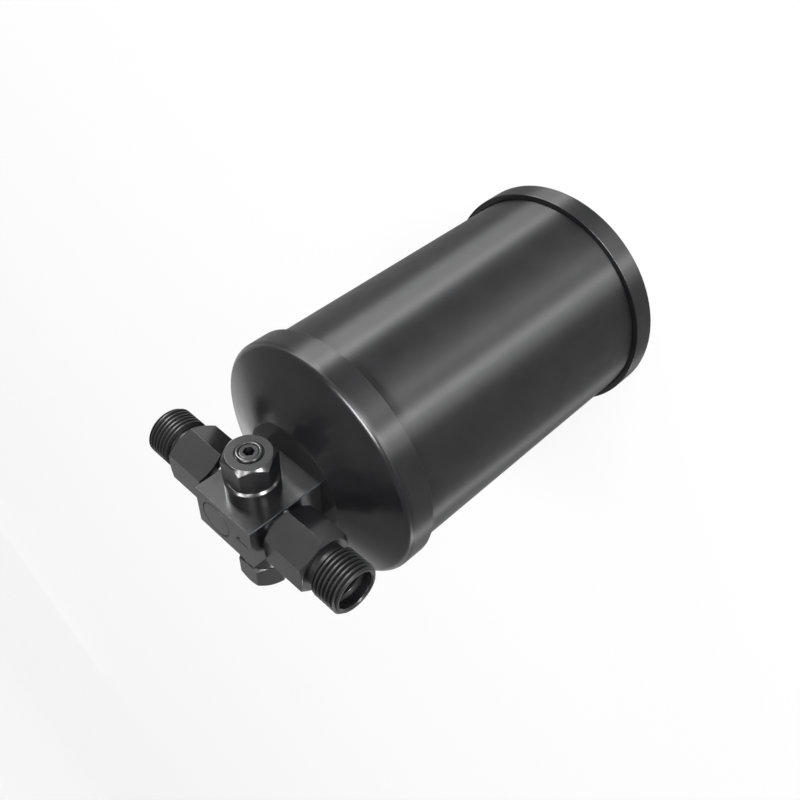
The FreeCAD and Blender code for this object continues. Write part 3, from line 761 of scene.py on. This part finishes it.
# Packed beige beads, seen as a coarse, dull grain
desiccant = plainFinish("molecular_sieve_beads", "cbb58d", "e8d8b7", 1.2, 0.85, height=0.5)
finishes = {
    springSteel: ("bed_spring",),
    plainSteel: ("pickup_tube", "tube_strainer", "lower_plate", "upper_plate"),
    turnedBrass: ("relief_poppet", "access_core", "access_core_pin"),
    sealRubber: (
        "inlet_o_ring", "outlet_o_ring", "relief_o_ring", "access_port_o_ring",
        "relief_seat_seal", "access_cap_seal"),
    filterFelt: ("lower_filter_pad", "upper_filter_pad"),
    desiccant: ("desiccant_bed",),
}
for material, names in finishes.items():
    for name in names:
        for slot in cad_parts[name].material_slots:
            slot.material = material

# The two springs that a joint works are copies of their nodes. For each: its node, its joint and
# the joint's travel.
springs = {
    "reliefSpring": ("relief_spring", "relief_lift", 1.2),
    "coreSpring": ("access_core_spring", "core_pin_press", 1.0),
}
for name, (node, joint, travel) in springs.items():
    coil = copyMesh(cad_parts[node], name)
    coil.data.materials.clear()
    selectOnly(coil)
    bpy.ops.object.mode_set(mode="EDIT")
    weldPoints()
    bpy.ops.object.mode_set(mode="OBJECT")
    smooth(coil, 40)
    finishPiece(coil, springSteel, "spring_steel", node)
    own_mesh(coil)
print("inner pieces finished")


# Studio

studio = {
    "floorRadius": 3000.0,
    "wallRise": 800.0,
    "bend": 300.0,
    "floorColour": "f2f2f2",
    "white": 0.93,        # share of the paper that shines by itself to the camera and in gloss
    "glow": 0.92,
    "worldColour": "ffffff",
    "worldStrength": 0.45,
}
backdrop = turnPiece("backdrop", [
    (0, 0), (studio["floorRadius"], 0, studio["bend"]),
    (studio["floorRadius"] + 1, studio["wallRise"]), (0, studio["wallRise"])])
bpy.ops.object.mode_set(mode="EDIT")
bpy.ops.mesh.select_mode(type="FACE")
bpy.ops.mesh.select_all(action="DESELECT")
bpy.ops.object.mode_set(mode="OBJECT")
for part in backdrop.data.polygons:
    part.select = part.center.z > (studio["wallRise"] - 1) * mm
bpy.ops.object.mode_set(mode="EDIT")
bpy.ops.mesh.delete(type="FACE")
bpy.ops.mesh.select_mode(type="VERT")
bpy.ops.mesh.select_all(action="SELECT")
bpy.ops.mesh.flip_normals()
bpy.ops.object.mode_set(mode="OBJECT")
smooth(backdrop, 60)
# Matt paper that takes the object's shadow and looks white to the camera and in every reflection
backdropPaper, tree = newMaterial("matt_white_paper")
rays = addNode(tree, "LightPath").outputs
seen = addNode(
    tree, "Math", links={0: rays["Is Camera Ray"], 1: rays["Is Glossy Ray"]}, operation="MAXIMUM")
seen = addNode(
    tree, "Math", links={0: seen.outputs[0], 1: rays["Is Transmission Ray"]}, operation="MAXIMUM")
share = addNode(
    tree, "Math", {1: studio["white"]}, {0: seen.outputs[0]}, operation="MULTIPLY")
paper = addNode(tree, "BsdfDiffuse", {"Color": colour(studio["floorColour"])})
glow = addNode(tree, "Emission", {"Color": (1, 1, 1, 1), "Strength": studio["glow"]})
mix = addNode(
    tree, "MixShader", links={0: share.outputs[0], 1: paper.outputs[0], 2: glow.outputs[0]})
closeMaterial(tree, mix)
backdrop.data.materials.clear()
backdrop.data.materials.append(backdropPaper)

world = bpy.data.worlds.new("studioAir")
world.use_nodes = True
bpy.context.scene.world = world
air = world.node_tree.nodes["Background"]
air.inputs["Color"].default_value = colour(studio["worldColour"])
air.inputs["Strength"].default_value = studio["worldStrength"]

# Each lamp: azimuth and elevation of its centre seen from the vessel, distance, width, height
# and power in watts. The low strips make the bands on the walls, overhead the glint on the rim.
lamps = {
    "rightKey": (-62, 3, 1400, 180, 300, 20.0),
    "rightFill": (-47, 3, 1400, 420, 300, 18.0),
    "rightLow": (-54, -4, 600, 160, 60, 0.3),
    "leftKey": (-138.5, 3, 1400, 160, 300, 21.0),
    "leftFill": (-148, 3, 1400, 260, 300, 9.0),
    "backKey": (128, 3, 1400, 200, 300, 5.0),
    "frontSpot": (-119, 35, 1400, 200, 600, 12.0),
    "overhead": (-115, 62, 1400, 700, 260, 32.0),
    "topCard": (-52, 30, 1400, 600, 500, 0.7),
    "whiteCard": (52, 3, 1400, 360, 380, 0.45),
}
aim = Vector((0, 0, 75)) * mm
for name, (azimuth, elevation, distance, width, height, power) in lamps.items():
    azimuth, elevation = math.radians(azimuth), math.radians(elevation)
    direction = Vector((
        math.cos(azimuth) * math.cos(elevation), math.sin(azimuth) * math.cos(elevation),
        math.sin(elevation)))
    light = bpy.data.lights.new(name, "AREA")
    light.shape = "RECTANGLE"
    light.size = width * mm
    light.size_y = height * mm
    light.energy = power
    lamp = bpy.data.objects.new(name, light)
    lamp.location = aim + direction * distance * mm
    lamp.rotation_euler = (-direction).to_track_quat("-Z", "Y").to_euler()
    lamp.visible_camera = False
    bpy.context.collection.objects.link(lamp)

# The camera stands where the photograph was taken from, rolled so that the head is at lower left.
viewpoint = {
    "place": (-144.91, -213.65, 235.04),
    "turn": (-44.0045, 44.2557, -178.3808),  # degrees
    "lens": 42.558,
    "sensor": 36,
    "near": 10,
    "far": 50000,
}
camera = bpy.data.objects.new("camera", bpy.data.cameras.new("camera"))
camera.data.sensor_width = viewpoint["sensor"]
camera.data.lens = viewpoint["lens"]
camera.data.clip_start = viewpoint["near"] * mm
camera.data.clip_end = viewpoint["far"] * mm
camera.location = Vector(viewpoint["place"]) * mm
camera.rotation_euler = [math.radians(angle) for angle in viewpoint["turn"]]
bpy.context.collection.objects.link(camera)
bpy.context.scene.camera = camera
bpy.context.scene.view_settings.view_transform = "Standard"
print("studio lit")
